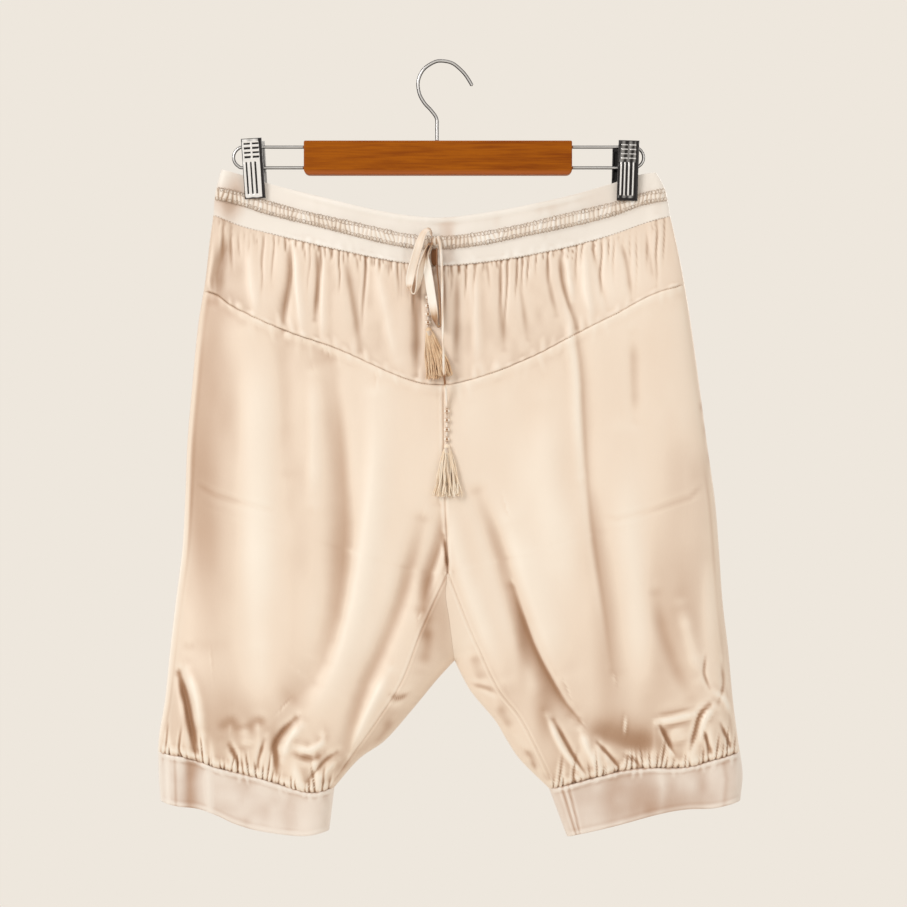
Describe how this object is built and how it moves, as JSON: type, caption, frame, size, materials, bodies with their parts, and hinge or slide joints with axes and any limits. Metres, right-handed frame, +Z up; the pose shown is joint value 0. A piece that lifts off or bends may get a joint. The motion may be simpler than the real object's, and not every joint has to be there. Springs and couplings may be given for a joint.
{
  "type": "gathered satin pantaloons on a clip hanger",
  "caption": "Knee-length pantaloons with a gathered hip yoke, ruched drawstring casing and deep cuffs, clipped by the waistband to a wooden hanger.",
  "frame": {"origin": "the inner top of the hook, where a rail bears on it", "axes": "+Z up, +X to the right in the front view, front towards -Y"},
  "size_m": [0.5084, 0.0626, 0.6753],
  "materials": {
    "satin": "champagne satin with a soft sheen",
    "satin_band": "paler champagne satin, pressed smooth",
    "ribbon": "narrow satin ribbon",
    "tassel_thread": "loose embroidery thread",
    "wood": "varnished reddish brown wood",
    "clip_chrome": "bright plated pressed steel",
    "steel_wire": "bright round wire"
  },
  "bodies": {
    "root": {"waistband_front_left": "satin_band", "waistband_front_right": "satin_band", "waistband_back_left": "satin_band", "waistband_back_right": "satin_band", "casing_front": "satin_band", "casing_back": "satin_band", "yoke_front": "satin", "yoke_back": "satin", "leg_front_left": "satin", "leg_back_left": "satin", "cuff_left": "satin", "pocket_bag_left": "satin", "leg_front_right": "satin", "leg_back_right": "satin", "cuff_right": "satin", "pocket_bag_right": "satin", "bow_knot": "ribbon", "bow_loop_left": "ribbon", "drawstring_end_left": "ribbon", "drawstring_thread_left": "ribbon", "bead_left_1": "ribbon", "bead_left_2": "ribbon", "bead_left_3": "ribbon", "bead_left_4": "ribbon", "tassel_left": "tassel_thread", "bow_loop_right": "ribbon", "drawstring_end_right": "ribbon", "drawstring_thread_right": "ribbon", "bead_right_1": "ribbon", "bead_right_2": "ribbon", "bead_right_3": "ribbon", "bead_right_4": "ribbon", "tassel_right": "tassel_thread", "hanger_bar": "wood", "hanger_hook": "steel_wire", "wire_loop_left": "steel_wire", "clip_left_front": "clip_chrome", "clip_left_back": "clip_chrome", "clip_left_spring": "steel_wire", "wire_loop_right": "steel_wire", "clip_right_front": "clip_chrome", "clip_right_back": "clip_chrome", "clip_right_spring": "steel_wire"}
  },
  "joints": []
}
